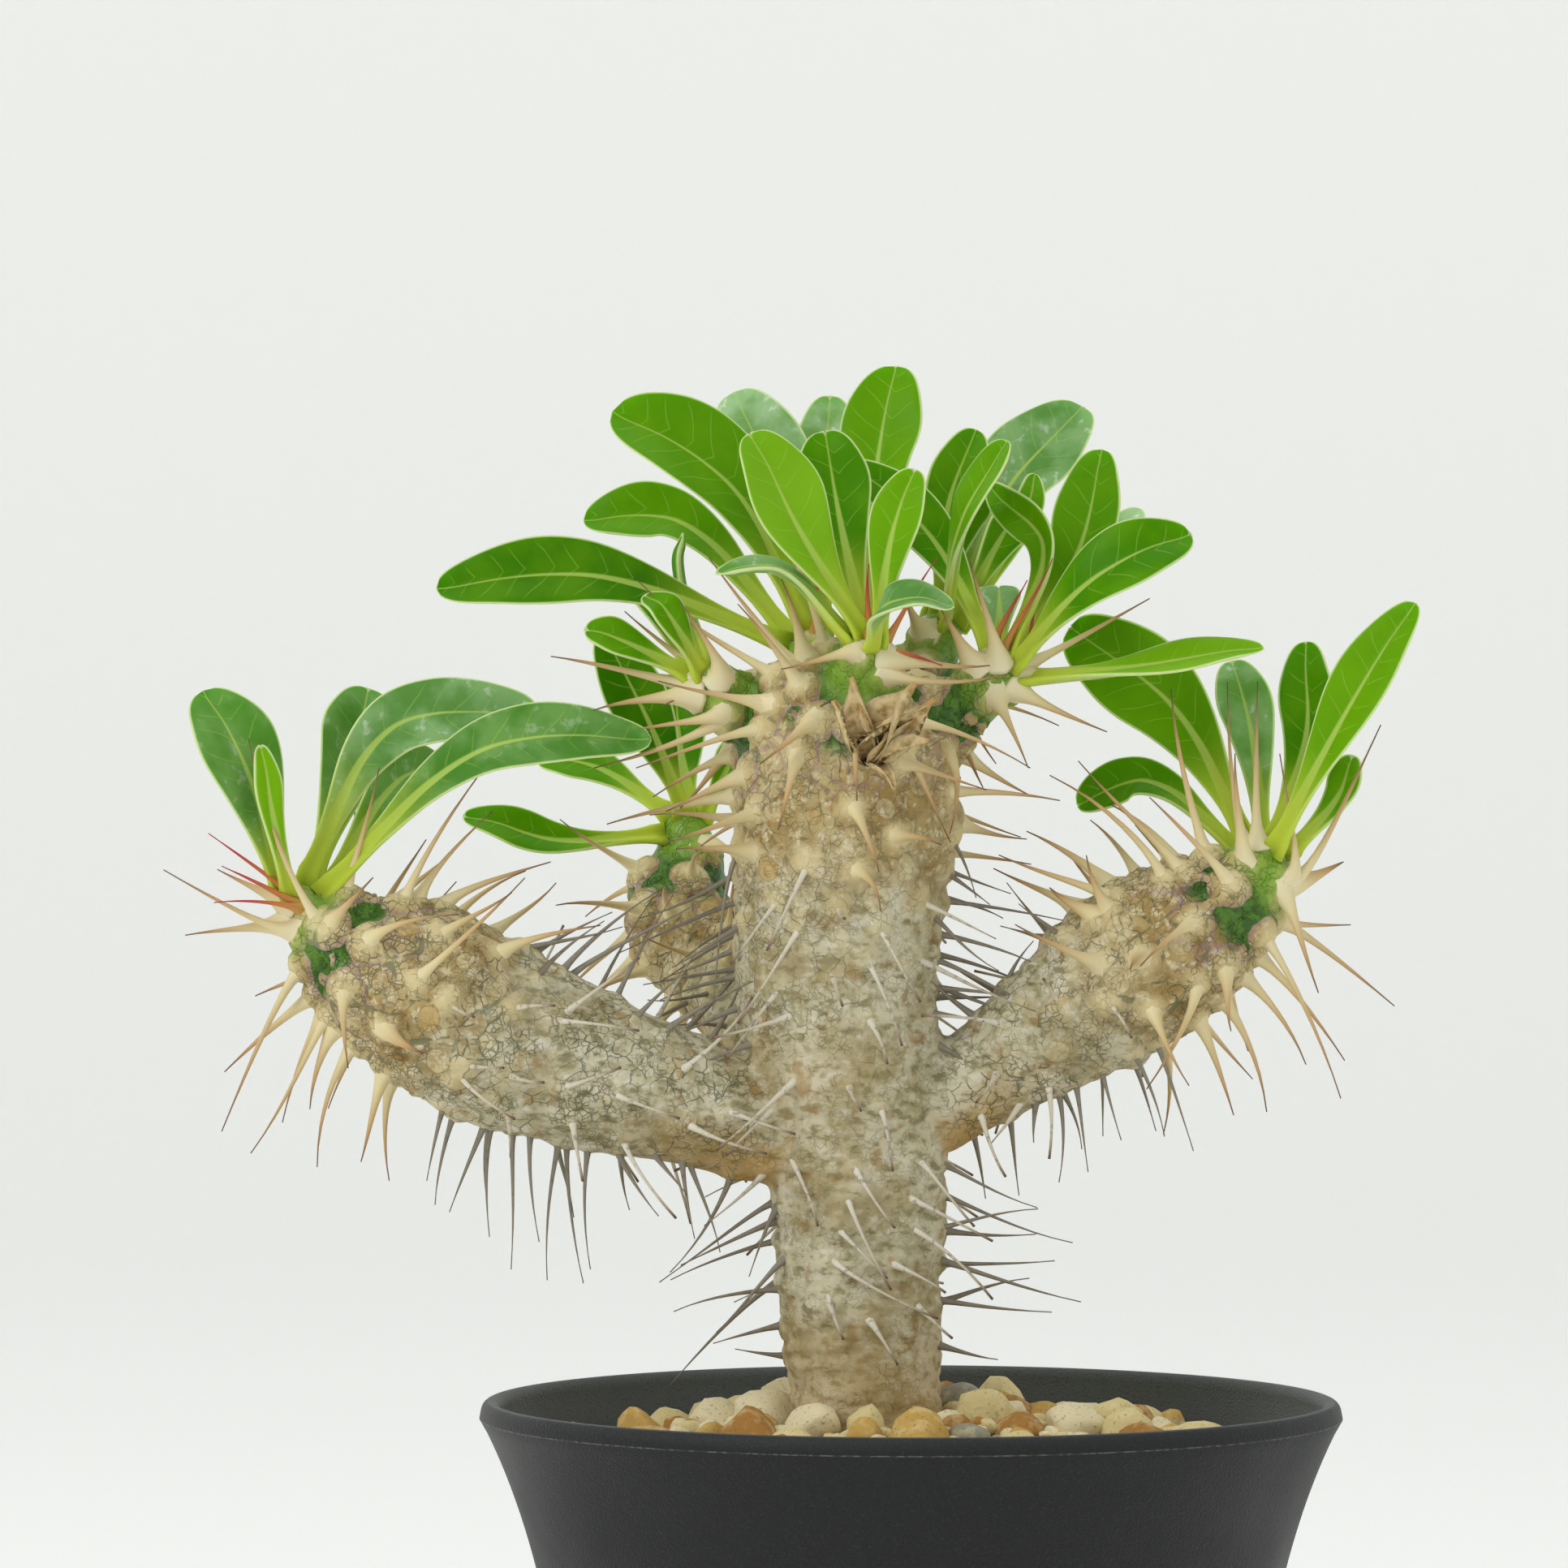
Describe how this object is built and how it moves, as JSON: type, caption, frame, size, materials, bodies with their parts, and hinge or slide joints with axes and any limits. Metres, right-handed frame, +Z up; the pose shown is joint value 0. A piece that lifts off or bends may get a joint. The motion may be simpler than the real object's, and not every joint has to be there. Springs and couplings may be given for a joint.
{
  "type": "potted euphorbia",
  "caption": "Spiny many-branched euphorbia with leafy crowns, growing in gritty soil in a plain round flared nursery pot.",
  "frame": {"origin": "centre of the pot's flat underside, on the surface that it stands on", "axes": "+Z up the pot's axis, +X to the right and -Y towards the viewer on the side where the two long branches spread left and right"},
  "size_m": [0.1675, 0.126, 0.2505],
  "materials": {
    "pot": "satin",
    "soil": "matte",
    "grit": "matte",
    "tan_pebble": "matte",
    "cream_pebble": "matte",
    "brown_pebble": "matte",
    "white_pebble": "matte",
    "stem": "matte",
    "dried_flower": "matte",
    "leaf": "satin"
  },
  "bodies": {
    "root": {"pot": "pot", "soil": "soil", "grit": "grit", "tan_pebble": "tan_pebble", "cream_pebble": "cream_pebble", "brown_pebble": "brown_pebble", "white_pebble": "white_pebble", "stem": "stem", "dried_flower": "dried_flower", "left_leaf_1": "leaf", "left_leaf_2": "leaf", "left_leaf_3": "leaf", "left_leaf_4": "leaf", "left_leaf_5": "leaf", "left_leaf_6": "leaf", "back_leaf_1": "leaf", "back_leaf_2": "leaf", "back_leaf_3": "leaf", "back_leaf_4": "leaf", "back_leaf_5": "leaf", "inner_leaf_1": "leaf", "inner_leaf_2": "leaf", "middle_leaf_1": "leaf", "middle_leaf_2": "leaf", "middle_leaf_3": "leaf", "middle_leaf_4": "leaf", "inner_leaf_3": "leaf", "inner_leaf_4": "leaf", "front_leaf_1": "leaf", "front_leaf_2": "leaf", "front_leaf_3": "leaf", "front_leaf_4": "leaf", "front_leaf_5": "leaf", "middle_leaf_5": "leaf", "front_leaf_6": "leaf", "rear_leaf_1": "leaf", "rear_leaf_2": "leaf", "rear_leaf_3": "leaf", "rear_leaf_4": "leaf", "rear_leaf_5": "leaf", "rear_leaf_6": "leaf", "side_leaf_1": "leaf", "side_leaf_2": "leaf", "side_leaf_3": "leaf", "side_leaf_4": "leaf", "side_leaf_5": "leaf", "side_leaf_6": "leaf", "side_leaf_7": "leaf", "right_leaf_1": "leaf", "right_leaf_2": "leaf", "right_leaf_3": "leaf", "right_leaf_4": "leaf", "right_leaf_5": "leaf", "right_leaf_6": "leaf"}
  },
  "joints": []
}
